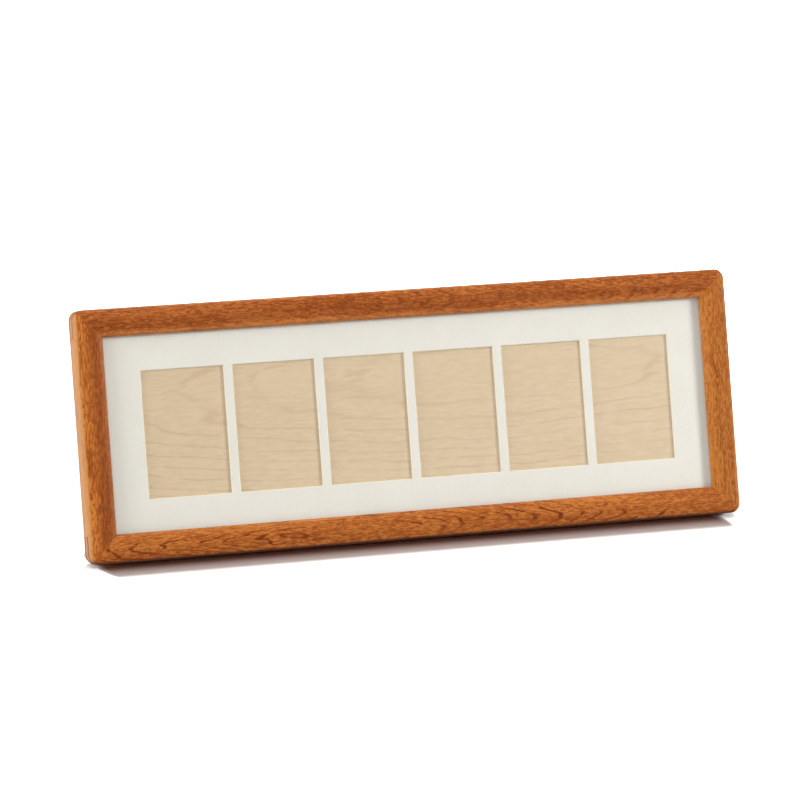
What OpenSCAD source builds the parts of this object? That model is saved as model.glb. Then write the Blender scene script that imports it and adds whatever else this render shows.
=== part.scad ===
// Table stand for a row of small photos: a mitred hardwood frame with keyed corners, a windowed
// mat under a clear pane, and a back board with swivel clips and a hinged leg.
// Millimetres. X runs along the frame, the front faces -Y, and the stand rests on Z = 0.
// Pieces are drawn upright, with Y as the depth behind the front and Z as the height above the
// bottom edge, and placed() then leans them back into their standing position.

/* [Photo windows] */
// Number of windows in the row
window_count = 6; // [4:1:8]
// Width of one window
window_w = 50; // [36:1:70]
// Height of one window
window_h = 75.5; // [70:0.5:110]
// Width of the mat between two windows
window_gap = 6; // [5:0.5:14]
// Width of the mat beside the row, from the sight edge to the first window
side_margin = 22; // [20:1:60]
// Width of the mat above the windows
top_margin = 21.5; // [20:0.5:60]
// Width of the mat below the windows
bottom_margin = 19.5; // [19:0.5:60]
// Width of the slope cut round each window, seen from the front
bevel_w = 1.1; // [0.5:0.1:1.5]

/* [Moulding] */
// Width of the moulding, from the outer edge to the sight edge
mould_w = 17; // [16:0.5:26]
// Depth of the moulding, front to back
mould_d = 18; // [17.5:0.5:26]
// Radius of the gently crowned front
crown_r = 45; // [35:1:120]
// Distance of the crown's highest line from the outer edge
crown_inset = 7; // [5:0.5:9]
// Radius of the front outer edge
outer_edge_r = 1.2; // [0.5:0.1:2]
// Radius of the front inner edge, beside the mat
inner_edge_r = 2.5; // [1:0.1:2.8]
// Radius of the back outer edge
back_edge_r = 1; // [0.4:0.1:1.5]
// Radius of the frame's four corners, seen from the front
corner_r = 6; // [3:0.5:8]
// How far the sight lip covers the pane and the boards
lip_w = 5; // [3:0.5:6]
// Depth of the sight lip, front to back, where the pane bears on it
lip_t = 4; // [3.8:0.1:5]

/* [Pane and boards] */
// Thickness of the clear pane
pane_t = 2; // [1:0.5:2.5]
// Thickness of the mat
mat_t = 1.5; // [1:0.1:2]
// Thickness of the back board
board_t = 5; // [4:0.5:5.5]
// Clearance all round the pane and the boards inside the rebate
board_play = 0.5; // [0.2:0.1:1]

/* [Corner keys] */
// Length of a key's edge along the outside of the frame
key_leg = 17; // [12:0.5:17]
// Thickness of a key
key_t = 3; // [2:0.5:3.5]
// Depth of the front key's middle behind the front
key_front = 6.4; // [5:0.1:7]
// Distance between the two keys of a corner, middle to middle
key_pitch = 8; // [5:0.5:9]

/* [Stance] */
// Lean of the frame back from upright, in degrees
lean = 15; // [8:1:20]
// Angle between the open leg and the frame's back, in degrees
spread = 30; // [26:1:36]
// Width of the flat land planed on the bottom edge, on which the frame stands
land_w = 3; // [1.5:0.5:4]

/* [Leg] */
// Thickness of the leg
leg_t = 5; // [4:0.5:7]
// Width of the leg at its hinge
leg_top_w = 40; // [38:1:60]
// Width of the leg at its foot
leg_foot_w = 62; // [50:1:90]
// Height of the heel above the hinge pin, which meets the back board and stops the leg
heel = 15; // [13:0.5:16]
// Width of the arch cut in the foot
arch_w = 34; // [20:1:40]
// Height of the arch cut in the foot
arch_h = 3; // [1:0.5:6]
// Radius of the leg's top corners
leg_corner_r = 4; // [2:0.5:6]

/* [Leg hinge] */
// Distance of the hinge pin below the top of the rebate
pin_drop = 21; // [20:0.5:30]
// Length of the hinge along its pin
hinge_w = 34; // [24:1:36]
// Length of a leaf, from the pin to its end
leaf_len = 24; // [18:1:30]
// Thickness of a leaf
leaf_t = 1; // [0.8:0.1:1.2]
// Outer radius of the knuckles
knuckle_r = 2; // [1.8:0.1:2.4]
// Radius of the hinge pin
pin_r = 1; // [0.8:0.1:1.2]
// Number of knuckles, shared by the two leaves
knuckle_count = 5; // [3:2:7]

/* [Swivel clips] */
// Thickness of a clip
clip_t = 1; // [0.6:0.1:1.2]
// Radius of a clip's round end, about its rivet
clip_r = 5; // [4:0.5:6]
// Radius of a clip's tip
clip_tip_r = 3.5; // [2:0.5:4]
// Distance of a clip's rivet from the rebate wall
clip_inset = 9.5; // [8:0.5:10]
// How far a clip's tip reaches into the groove of the rebate wall
clip_bite = 2.6; // [1.5:0.1:2.8]
// Depth of the groove in the rebate wall
groove_depth = 3.2; // [3:0.1:3.2]
// Width of the groove, front to back
groove_w = 2; // [1.8:0.1:2.4]
// Radius of a clip's rivet
rivet_r = 1.5; // [1:0.1:2]
// Radius of the rivet's domed head
rivet_head_r = 3.2; // [2.6:0.1:3.6]
// Height of the rivet's domed head
rivet_head_h = 1.4; // [0.8:0.1:1.8]

/* [Screws] */
// Radius of a hinge screw's shank
screw_r = 1.1; // [0.8:0.1:1.3]
// Radius of a hinge screw's countersunk head
screw_head_r = 2.2; // [1.8:0.1:2.4]
// Length of a hinge screw
screw_len = 4.2; // [3.4:0.1:4.6]

/* [Hidden] */
$fn = 96;

// Overrun of every cut past the face that it opens
over = 1;
// Gap between faces that are glued or pressed together
seat = 0.02;
// Gap between a turning face and its neighbour
swing = 0.3;
// Radial clearance of a piece that turns on its pin or rivet
running = 0.05;
// Gap between the heel and the board that it stops on
stop_gap = 0.05;
// Height by which an edge rounding stands proud of the crown, so that the two cross cleanly
edge_lift = 0.005;

// Frame: sight opening, outer size and the rebate behind the lip
sight_w = window_count * window_w + (window_count - 1) * window_gap + 2 * side_margin;
sight_h = window_h + top_margin + bottom_margin;
frame_w = sight_w + 2 * mould_w;
frame_h = sight_h + 2 * mould_w;
wall = mould_w - lip_w;
mat_front = lip_t + pane_t;
board_front = mat_front + mat_t;
board_back = board_front + board_t;
board_w = frame_w - 2 * (wall + board_play);
board_h = frame_h - 2 * (wall + board_play);
window_pitch = window_w + window_gap;
window_z = mould_w + bottom_margin;

// Stance: the floor cuts the land at this drop below the upright frame's bottom front edge
land_h = land_w * sin(lean) * cos(lean);
floor_drop = mould_d * sin(lean) - land_h;

// Hinge: the pin stands off the board so that the knuckles clear it
pin_off = knuckle_r + swing;
pin_y = board_back + pin_off;
pin_z = frame_h - wall - pin_drop;
knuckle_len = hinge_w / knuckle_count;
knuckle_gap = 0.15;
leaf_relief = 0.4;
leg_face = pin_off;
leg_back = leg_face + leg_t;
pin_height = pin_z * cos(lean) - pin_y * sin(lean) + floor_drop;
leg_tilt = spread - lean;
foot_face = pin_height / cos(leg_tilt) + leg_face * tan(leg_tilt);
foot_back = pin_height / cos(leg_tilt) + leg_back * tan(leg_tilt);

// Reach of the whole stand along Y, which centres it on the origin
front_reach = outer_edge_r * (cos(lean) + sin(lean) - 1) + edge_fall(outer_edge_r) * cos(lean);
pin_world_y = pin_y * cos(lean) + pin_z * sin(lean);
back_reach = pin_world_y + leg_back * cos(leg_tilt) + foot_back * sin(leg_tilt);
mid_y = (front_reach + back_reach) / 2;

// Clips: each spot is its X, its height and the turn that points the tip at its wall
clip_x_share = 0.27;
clip_reach = clip_inset + clip_bite - clip_tip_r;
clip_lift = 0.1;
groove_lead = 0.4;
tab_w = 5;
tab_t = 0.9;
tab_h = 2;
rivet_flange_r = 2.9;
rivet_flange_t = 0.5;
rebate_x = frame_w / 2 - wall;
rebate_top = frame_h - wall;
clip_spots = [[-clip_x_share * frame_w, rebate_top - clip_inset, 90],
              [clip_x_share * frame_w, rebate_top - clip_inset, 90],
              [-clip_x_share * frame_w, wall + clip_inset, -90],
              [clip_x_share * frame_w, wall + clip_inset, -90],
              [-rebate_x + clip_inset, frame_h / 2, 180],
              [rebate_x - clip_inset, frame_h / 2, 0]];

// Screws: four to a leaf, as shares of the leaf's size
screw_x_share = 0.3;
screw_rows_share = [0.36, 0.8];
screw_recess_w = 0.5;
screw_recess_d = 0.5;
countersink = screw_head_r - screw_r;

wood = "#b0692f";
key_wood = "#5d3d28";
ply = "#dcc8a4";
card = "#eae5d8";
steel = "#b9b8b2";

// Fall of the crowned front below its highest line, at a distance from the outer edge
function crown_fall(u) = crown_r - sqrt(pow(crown_r, 2) - pow(u - crown_inset, 2));

// Depth of the centre of an edge rounding of radius r that meets the crown
function round_depth(r, u) =
    crown_r - sqrt(pow(crown_r - r, 2) - pow(u - crown_inset, 2)) - edge_lift;

// Depth by which the outer rounding starts behind the frame's highest line
function edge_fall(r) = round_depth(r, r) - r;

// Point where a rounding's circle meets the crown
function crown_touch(r, u) =
    let (v = round_depth(r, u), k = crown_r / (crown_r - r))
    [crown_inset + (u - crown_inset) * k, crown_r + (v - crown_r) * k];

// Leans the upright stand back and sets it down on Z = 0
module placed() {
    translate([0, -mid_y, floor_drop])
        rotate([-lean, 0, 0])
            children();
}

// Takes away whatever the upright pieces have below the floor
module on_floor() {
    difference() {
        children();
        rotate([lean, 0, 0])
            translate([-frame_w, -frame_h, -frame_h - floor_drop])
                cube([2 * frame_w, 3 * frame_h, frame_h]);
    }
}

// Sliver between a corner and the circle that rounds it: the corner is far, the touching points
// are a and b, and the circle has radius r about c
module corner_sliver(c, r, a, far, b) {
    difference() {
        polygon([c, a, far, b]);
        translate(c) circle(r);
    }
}

// Section of the moulding: X is the distance from the outer edge, Y the depth behind the front
module moulding_section() {
    outer_c = [outer_edge_r, round_depth(outer_edge_r, outer_edge_r)];
    inner_u = mould_w - inner_edge_r;
    inner_c = [inner_u, round_depth(inner_edge_r, inner_u)];
    back_c = [back_edge_r, mould_d - back_edge_r];
    difference() {
        intersection() {
            square([mould_w, mould_d]);
            translate([crown_inset, crown_r]) circle(crown_r, $fn = 4 * $fn);
        }
        translate([wall, lip_t]) square([lip_w + over, mould_d]);
        translate([wall - groove_depth, board_back + clip_lift - groove_lead])
            square([groove_depth + over, groove_w]);
        corner_sliver(outer_c, outer_edge_r, crown_touch(outer_edge_r, outer_edge_r),
                      [-over, -over], [0, outer_c[1]]);
        corner_sliver(inner_c, inner_edge_r, crown_touch(inner_edge_r, inner_u),
                      [mould_w, 0], [mould_w, inner_c[1]]);
        corner_sliver(back_c, back_edge_r, [0, back_c[1]], [0, mould_d], [back_c[0], mould_d]);
    }
}

// The rounded corner of the frame, swept a quarter turn about the corner's own centre
module swept_corner() {
    rotate([-90, 0, 0])
        rotate_extrude(angle = 90)
            translate([corner_r, 0])
                mirror([1, 0])
                    intersection() {
                        moulding_section();
                        square([corner_r, mould_d]);
                    }
}

// A mitred bar of the frame, its outer edge on Z = 0 and its middle on X = 0
module mitred_bar(length) {
    run = length / 2 - corner_r;
    end = run + corner_r + over;
    difference() {
        union() {
            rotate([0, -90, 0])
                linear_extrude(height = 2 * run, center = true)
                    moulding_section();
            for (side = [0, 1])
                mirror([side, 0, 0])
                    translate([run, 0, corner_r])
                        swept_corner();
        }
        for (side = [0, 1])
            mirror([side, 0, 0])
                translate([0, mould_d + over, 0])
                    rotate([90, 0, 0])
                        linear_extrude(height = mould_d + 2 * over)
                            polygon([[end, -over],
                                     [end, corner_r + mould_w],
                                     [run - mould_w, corner_r + mould_w]]);
    }
}

// Repeats what follows in the four corners of the frame, or in one of them
module at_corner(side_x, side_z) {
    translate([side_x * frame_w / 2, 0, side_z > 0 ? frame_h : 0])
        mirror([side_x > 0 ? 1 : 0, 0, 0])
            mirror([0, 0, side_z > 0 ? 1 : 0])
                children();
}

// Plan of a key: a corner triangle, rounded as the frame's corner is
module key_plan() {
    difference() {
        polygon([[0, 0], [key_leg, 0], [0, key_leg]]);
        difference() {
            square(corner_r);
            translate([corner_r, corner_r]) circle(corner_r);
        }
    }
}

// The two keys of a corner
module corner_keys() {
    for (depth = [key_front, key_front + key_pitch])
        translate([0, depth + key_t / 2, 0])
            rotate([90, 0, 0])
                linear_extrude(height = key_t)
                    key_plan();
}

// Slots for the keys of all four corners
module key_slots() {
    for (side_x = [-1, 1], side_z = [-1, 1])
        at_corner(side_x, side_z)
            for (depth = [key_front, key_front + key_pitch])
                translate([0, depth + key_t / 2 + seat, 0])
                    rotate([90, 0, 0])
                        linear_extrude(height = key_t + 2 * seat)
                            polygon([[-over, -over],
                                     [key_leg + over + seat, -over],
                                     [-over, key_leg + over + seat]]);
}

module bottom_bar() {
    mitred_bar(frame_w);
}

module top_bar() {
    translate([0, 0, frame_h]) mirror([0, 0, 1]) mitred_bar(frame_w);
}

module side_bar(side) {
    translate([side * frame_w / 2, 0, frame_h / 2])
        rotate([0, -90 * side, 0])
            mitred_bar(frame_h);
}

module keyed() {
    placed()
        on_floor()
            difference() {
                children();
                key_slots();
            }
}

module top_rail() {
    color(wood) keyed() top_bar();
}

module bottom_rail() {
    color(wood) keyed() bottom_bar();
}

module left_stile() {
    color(wood) keyed() side_bar(-1);
}

module right_stile() {
    color(wood) keyed() side_bar(1);
}

module keys_at(side_x, side_z) {
    color(key_wood)
        placed()
            on_floor()
                at_corner(side_x, side_z)
                    corner_keys();
}

// A flat sheet that fills the rebate between two depths
module sheet(front, thickness) {
    translate([-board_w / 2, front, wall + board_play])
        cube([board_w, thickness, board_h]);
}

module front_pane() {
    color("#dfe9ea", 0.3) placed() sheet(lip_t, pane_t);
}

// Cutter for one window: its sides slope in from the mat's front to its back
module window_cutter() {
    grow = bevel_w * (mat_t + over) / mat_t;
    back = bevel_w * over / mat_t;
    intersection() {
        linear_extrude(height = 3 * window_h, center = true)
            polygon([[-window_w / 2 - grow, -over],
                     [window_w / 2 + grow, -over],
                     [window_w / 2 - back, mat_t + over],
                     [-window_w / 2 + back, mat_t + over]]);
        rotate([0, -90, 0])
            linear_extrude(height = 3 * window_w, center = true)
                polygon([[-window_h / 2 - grow, -over],
                         [window_h / 2 + grow, -over],
                         [window_h / 2 - back, mat_t + over],
                         [-window_h / 2 + back, mat_t + over]]);
    }
}

module mat_board() {
    color(card)
        placed()
            difference() {
                sheet(mat_front, mat_t);
                for (i = [0 : window_count - 1])
                    translate([(i - (window_count - 1) / 2) * window_pitch, mat_front,
                               window_z + window_h / 2])
                        window_cutter();
            }
}

// Carries a clip or its rivet to one of the clip spots, on the back of the board
module at_clip(spot) {
    translate([spot[0], board_back, spot[1]])
        rotate([0, -spot[2], 0])
            children();
}

// Upright cylinder along the depth, from one depth to another
module along_depth(from, to, r1, r2) {
    translate([0, from, 0])
        rotate([-90, 0, 0])
            cylinder(h = to - from, r1 = r1, r2 = r2);
}

module back_board() {
    color(ply)
        placed()
            difference() {
                sheet(board_front, board_t);
                for (spot = clip_spots)
                    at_clip(spot) {
                        along_depth(-board_t - over, over, rivet_r + seat, rivet_r + seat);
                        along_depth(-board_t - over, -board_t + rivet_flange_t,
                                    rivet_flange_r + seat, rivet_flange_r + seat);
                    }
                back_leaf_frame()
                    leaf_screws_at()
                        screw_hole();
            }
}

// A rivet: flange under the board, shank through board and clip, and a domed head
module rivet() {
    shank_end = clip_lift + clip_t + clip_lift;
    dome_r = (pow(rivet_head_r, 2) + pow(rivet_head_h, 2)) / (2 * rivet_head_h);
    along_depth(-board_t, -board_t + rivet_flange_t - seat, rivet_flange_r, rivet_flange_r);
    along_depth(-board_t, shank_end, rivet_r, rivet_r);
    intersection() {
        translate([0, shank_end + rivet_head_h - dome_r, 0]) sphere(dome_r);
        along_depth(shank_end, shank_end + rivet_head_h, rivet_head_r, rivet_head_r);
    }
}

module clip_rivets() {
    color(steel)
        placed()
            for (spot = clip_spots)
                at_clip(spot)
                    rivet();
}

// Outline of two circles joined by their common tangents
module tapered_plate(r1, r2, distance) {
    a = acos((r1 - r2) / distance);
    circle(r1);
    translate([distance, 0]) circle(r2);
    polygon([[r1 * cos(a), r1 * sin(a)],
             [distance + r2 * cos(a), r2 * sin(a)],
             [distance + r2 * cos(a), -r2 * sin(a)],
             [r1 * cos(a), -r1 * sin(a)]]);
}

// A swivel clip with its tip along +X and a finger tab turned up behind its rivet
module clip() {
    difference() {
        union() {
            translate([0, clip_lift + clip_t, 0])
                rotate([90, 0, 0])
                    linear_extrude(height = clip_t)
                        tapered_plate(clip_r, clip_tip_r, clip_reach);
            translate([-clip_r, clip_lift, -tab_w / 2])
                cube([tab_t, clip_t + tab_h, tab_w]);
        }
        along_depth(clip_lift - over, clip_lift + clip_t + over,
                    rivet_r + running, rivet_r + running);
    }
}

module clip_number(i) {
    color(steel)
        placed()
            at_clip(clip_spots[i])
                clip();
}

// Hinge frames: X along the pin, the pin on the origin, and Z down the face of a leaf. The back
// leaf lies on the board, and the leg's leaf on the leg, turned out by the spread.
module back_leaf_frame() {
    translate([0, board_back, pin_z])
        mirror([0, 0, 1])
            children();
}

module leg_frame() {
    translate([0, pin_y, pin_z])
        rotate([spread, 0, 0])
            children();
}

// Repeats what follows at a leaf's screws, on a face that looks along +Y
module leaf_screws_at() {
    for (side = [-1, 1], row = screw_rows_share)
        translate([side * screw_x_share * hinge_w, 0, row * leaf_len])
            children();
}

// Body of a countersunk screw, grown for its hole: its wide end is level with the leaf's face
module screw_body(grow) {
    along_depth(leaf_t - screw_len - grow, leaf_t, screw_r + grow, screw_r + grow);
    along_depth(leaf_t - countersink, leaf_t, screw_r + grow, screw_head_r + grow);
}

module screw_hole() {
    screw_body(seat);
    along_depth(leaf_t, leaf_t + over, screw_head_r + seat, screw_head_r + seat);
}

// A hinge leaf on the face Y = 0, with its knuckles round an axis at pin_off above it. The first
// is the number of its first knuckle, and it owns every second one.
module leaf(first, bore) {
    difference() {
        union() {
            translate([-hinge_w / 2, 0, knuckle_r + leaf_relief])
                cube([hinge_w, leaf_t, leaf_len - knuckle_r - leaf_relief]);
            for (i = [first : 2 : knuckle_count - 1])
                translate([-hinge_w / 2 + i * knuckle_len + knuckle_gap, 0, 0]) {
                    cube([knuckle_len - 2 * knuckle_gap, leaf_t, knuckle_r + leaf_relief]);
                    cube([knuckle_len - 2 * knuckle_gap, pin_off, leaf_t]);
                    translate([0, pin_off, 0])
                        rotate([0, 90, 0])
                            cylinder(h = knuckle_len - 2 * knuckle_gap, r = knuckle_r);
                }
        }
        translate([-hinge_w / 2 - over, pin_off, 0])
            rotate([0, 90, 0])
                cylinder(h = hinge_w + 2 * over, r = bore);
        leaf_screws_at()
            screw_hole();
    }
}

module hinge_back_leaf() {
    color(steel) placed() back_leaf_frame() leaf(0, pin_r + seat);
}

module hinge_pin() {
    color(steel)
        placed()
            translate([-hinge_w / 2, pin_y, pin_z])
                rotate([0, 90, 0])
                    cylinder(h = hinge_w, r = pin_r);
}

// A countersunk screw into the face Y = 0, its head flush with the leaf that it holds
module screw() {
    difference() {
        screw_body(0);
        for (turn = [0, 90])
            rotate([0, turn, 0])
                translate([-screw_r, leaf_t - screw_recess_d, -screw_recess_w / 2])
                    cube([2 * screw_r, screw_recess_d + over, screw_recess_w]);
    }
}

module back_leaf_screws() {
    color(steel) placed() back_leaf_frame() leaf_screws_at() screw();
}

// The leg's leaf frame: the leaf's face looks back at the board
module leg_leaf_frame() {
    leg_frame()
        translate([0, leg_face, 0])
            mirror([0, 1, 0])
                mirror([0, 0, 1])
                    children();
}

module hinge_leg_leaf() {
    color(steel) placed() leg_leaf_frame() leaf(1, pin_r + running);
}

module leg_leaf_screws() {
    color(steel) placed() leg_leaf_frame() leaf_screws_at() screw();
}

// Face of the leg: it widens from the hinge to the foot, with round top corners
module leg_plan() {
    half_top = leg_top_w / 2;
    half_foot = leg_foot_w / 2;
    end = -foot_back - over;
    difference() {
        polygon([[-half_top, heel], [half_top, heel], [half_top, 0],
                 [half_foot, end], [-half_foot, end], [-half_top, 0]]);
        for (side = [0, 1])
            mirror([side, 0])
                corner_sliver([half_top - leg_corner_r, heel - leg_corner_r], leg_corner_r,
                              [half_top - leg_corner_r, heel],
                              [half_top, heel],
                              [half_top, heel - leg_corner_r]);
    }
}

module leg() {
    arch_r = (pow(arch_w / 2, 2) + pow(arch_h, 2)) / (2 * arch_h);
    color(ply)
        placed()
            difference() {
                on_floor()
                    leg_frame()
                        translate([0, leg_back, 0])
                            rotate([90, 0, 0])
                                linear_extrude(height = leg_t)
                                    leg_plan();
                translate([-frame_w / 2, -over, 0])
                    cube([frame_w, board_back + stop_gap + over, frame_h]);
                leg_frame()
                    translate([0, 0, -foot_face - arch_r + arch_h])
                        along_depth(0, leg_back + over, arch_r, arch_r);
                leg_leaf_frame()
                    leaf_screws_at()
                        screw_hole();
            }
}

top_rail();
bottom_rail();
left_stile();
right_stile();
keys_at(-1, 1);  // top_left_keys
keys_at(1, 1);  // top_right_keys
keys_at(-1, -1);  // bottom_left_keys
keys_at(1, -1);  // bottom_right_keys
front_pane();
mat_board();
back_board();
clip_rivets();
clip_number(0);  // top_left_clip
clip_number(1);  // top_right_clip
clip_number(2);  // bottom_left_clip
clip_number(3);  // bottom_right_clip
clip_number(4);  // left_clip
clip_number(5);  // right_clip
hinge_back_leaf();
hinge_pin();
back_leaf_screws();
hinge_leg_leaf();
leg_leaf_screws();
leg();
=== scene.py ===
"""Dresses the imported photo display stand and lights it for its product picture.

Every piece is drawn in metres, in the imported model's own axes, and rides on one of its bodies.
Pieces are drawn upright first, with X along the frame, Y as the depth behind the front and Z as
the height above the bottom edge, and Stance.to_row then leans them back onto the floor.
"""

import logging
import math
from collections.abc import Iterable, Mapping, Sequence
from dataclasses import dataclass, fields, replace
from enum import Enum
from functools import partial, reduce

import bmesh
import bpy
from mathutils import Euler, Matrix, Vector

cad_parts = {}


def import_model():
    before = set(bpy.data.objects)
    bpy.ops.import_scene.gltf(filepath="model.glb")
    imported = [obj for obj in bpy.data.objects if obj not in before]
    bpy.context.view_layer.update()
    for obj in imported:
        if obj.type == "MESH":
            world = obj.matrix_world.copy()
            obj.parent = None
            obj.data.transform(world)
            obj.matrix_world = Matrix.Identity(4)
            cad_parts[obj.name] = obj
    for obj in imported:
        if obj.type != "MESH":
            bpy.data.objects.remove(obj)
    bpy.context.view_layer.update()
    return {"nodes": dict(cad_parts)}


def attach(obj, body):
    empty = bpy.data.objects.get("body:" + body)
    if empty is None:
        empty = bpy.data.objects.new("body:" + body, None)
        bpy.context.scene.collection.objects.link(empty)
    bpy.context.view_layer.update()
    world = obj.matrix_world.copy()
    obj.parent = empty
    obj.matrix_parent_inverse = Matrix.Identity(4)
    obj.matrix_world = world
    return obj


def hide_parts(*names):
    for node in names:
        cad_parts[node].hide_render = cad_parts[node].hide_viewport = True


LOG = logging.getLogger("photo_stand")
MM = 0.001
# Points closer than this are one point, in metres.
WELD = 1e-6
# An edge or face lies in a plane when its points are closer to it than this.
IN_PLANE = 5 * WELD
# A face counts as square to a direction from this share of its normal.
SQUARE_ON = 0.9
# Least share of its normal that a mitre's face has on X and on Z.
SLANTED = 0.6
FRAME_BODY = "frame"
LEG_BODY = "leg"

Triple = tuple[float, float, float]
Colour = tuple[float, float, float, float]
Socket = bpy.types.NodeSocket
Piece = bpy.types.Object
Nodes = Mapping[str, Piece]
Mesh = bmesh.types.BMesh
Edge = bmesh.types.BMEdge
Vert = bmesh.types.BMVert


def srgb(red: float, green: float, blue: float) -> Colour:
    """Returns the opaque linear colour of a screen colour, whose parts run from 0 to 255."""
    linear = [
        c / 255 / 12.92 if c <= 10.31 else ((c / 255 + 0.055) / 1.055) ** 2.4
        for c in (red, green, blue)
    ]
    return (linear[0], linear[1], linear[2], 1.0)


@dataclass(frozen=True)
class Grain:
    """How the grain of a piece lies: a turn and a shift that bring it along X."""

    turn: Triple
    shift: Triple


@dataclass(frozen=True)
class Stance:
    """How the stand leans and where its hinge pin lies, in metres and radians."""

    lean: float = math.radians(15)
    spread: float = math.radians(30)
    middle: float = 41.667046 * MM
    floor_drop: float = 3.908743 * MM
    pin_depth: float = 14.8 * MM
    pin_height: float = 117.5 * MM
    leg_face: float = 2.3 * MM

    def to_row(self) -> Matrix:
        """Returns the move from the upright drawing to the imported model's axes."""
        down = Matrix.Translation((0, -self.middle, self.floor_drop))
        return down @ Matrix.Rotation(-self.lean, 4, "X")

    def grain(self, rise: float = 0.0) -> Grain:
        """Returns the grain of a piece whose fibres climb from the frame's length by an angle."""
        turn = (self.lean, rise, 0)
        start = self.to_row() @ Vector((0, 0, 0))
        return Grain(turn, tuple(Euler(turn, "XYZ").to_matrix() @ -start))

    def leg_normal(self) -> Vector:
        """Returns the direction square to the open leg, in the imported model's axes."""
        return Matrix.Rotation(self.spread - self.lean, 3, "X") @ Vector((0, 1, 0))

    def leg_front(self) -> Vector:
        """Returns a point of the leg's front face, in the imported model's axes."""
        pin = self.to_row() @ Vector((0, self.pin_depth, self.pin_height))
        return pin + self.leg_normal() * self.leg_face


@dataclass(frozen=True)
class MouldingSizes:
    """Section of the frame's moulding and the frame's outer size, in metres."""

    frame_width: float = 408 * MM
    frame_height: float = 150.5 * MM
    width: float = 17 * MM
    depth: float = 18 * MM
    wall: float = 12 * MM
    lip: float = 4 * MM
    groove_front: float = 12.2 * MM
    groove_back: float = 14.2 * MM
    groove_floor: float = 8.8 * MM
    crown_radius: float = 36 * MM
    crown_inset: float = 7 * MM
    outer_round: float = 2.4 * MM
    inner_round: float = 2.5 * MM
    back_round: float = 1 * MM
    corner_round: float = 6 * MM
    mitre_ease: float = 0.12 * MM
    edge_strip: float = 1.5 * MM

    def crown_fall(self, inset: float) -> float:
        """Returns how far the crowned front falls back at a distance from the outer edge."""
        side = inset - self.crown_inset
        return self.crown_radius - math.sqrt(self.crown_radius**2 - side**2)


@dataclass(frozen=True)
class KeySizes:
    """The key slots of a corner, in metres."""

    leg: float = 17 * MM
    half_thickness: float = 1.52 * MM
    depths: tuple[float, float] = (6.4 * MM, 14.4 * MM)


@dataclass(frozen=True)
class MatSizes:
    """The windowed mat, in metres."""

    half_width: float = 191.5 * MM
    low: float = 12.5 * MM
    high: float = 138 * MM
    front: float = 6 * MM
    thickness: float = 1.5 * MM
    count: int = 6
    window_width: float = 50 * MM
    window_low: float = 36.5 * MM
    window_high: float = 112 * MM
    pitch: float = 56 * MM
    slope: float = 0.7 * MM
    # Height of the strip at the back of the windows' slopes that carries painted shade.
    foot: float = 0.25 * MM

    def centres(self) -> list[float]:
        """Returns the X of the middle of each window."""
        return [(i - (self.count - 1) / 2) * self.pitch for i in range(self.count)]


class Side(Enum):
    """The four bars of the frame, by the node that each one stands for."""

    TOP = "top_rail"
    BOTTOM = "bottom_rail"
    LEFT = "left_stile"
    RIGHT = "right_stile"

    @property
    def upright(self) -> bool:
        """Says whether the bar runs up the frame's side."""
        return self in (Side.LEFT, Side.RIGHT)


@dataclass(frozen=True)
class Noise:
    """A noise pattern: its features per metre on X, Y and Z, and how its octaves add up."""

    stretch: Triple
    detail: float = 2.0
    roughness: float = 0.5
    distortion: float = 0.0


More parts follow.
